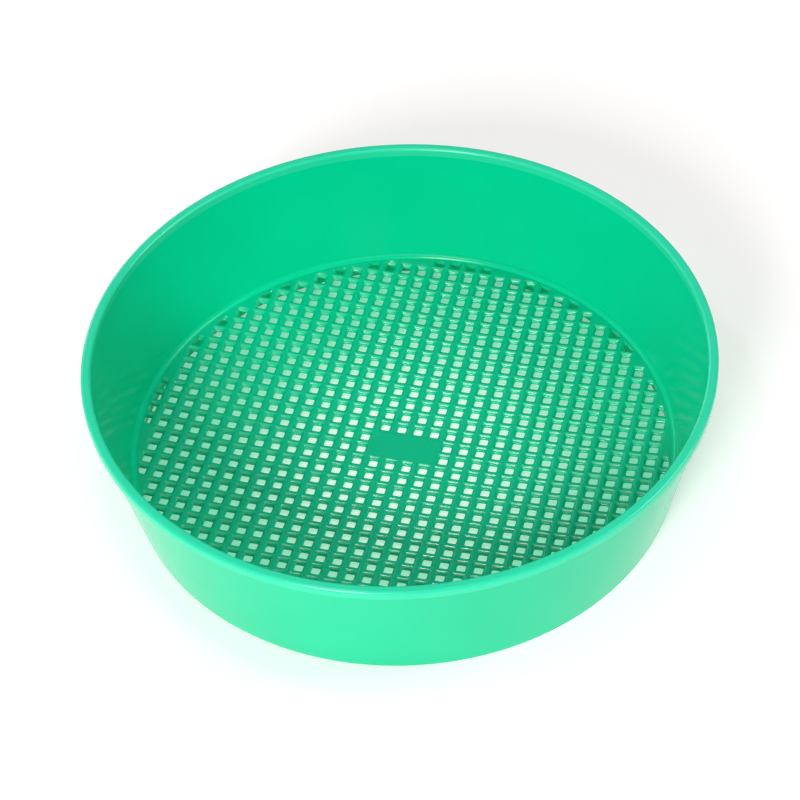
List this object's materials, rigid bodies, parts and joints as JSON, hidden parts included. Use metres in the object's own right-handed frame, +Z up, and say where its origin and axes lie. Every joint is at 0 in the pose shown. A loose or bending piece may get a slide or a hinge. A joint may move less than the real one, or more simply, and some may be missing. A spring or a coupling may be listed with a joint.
{
  "type": "soil sieve",
  "caption": "Shallow round bowl sieve with a thickened lip, a tapered wall and a dished floor of square funnel-shaped holes round a small blank centre plate.",
  "frame": {"origin": "centre of the foot's circle, on the surface that the sieve stands on", "axes": "+Z up out of the open top, along the axis of the round wall; the ribs of the grid run along X and Y, and the long side of the blank centre plate along X"},
  "size_m": [0.21, 0.21, 0.05],
  "materials": {
    "lip_plastic": "glossy moulded polypropylene",
    "wall_plastic": "smooth moulded polypropylene, slightly translucent",
    "mesh_plastic": "smooth moulded polypropylene",
    "plate_plastic": "satin moulded polypropylene"
  },
  "bodies": {
    "root": {"rim_lip": "lip_plastic", "side_wall": "wall_plastic", "foot_ring": "wall_plastic", "floor_border": "wall_plastic", "sieve_mesh": "mesh_plastic", "centre_plate": "plate_plastic"}
  },
  "joints": []
}
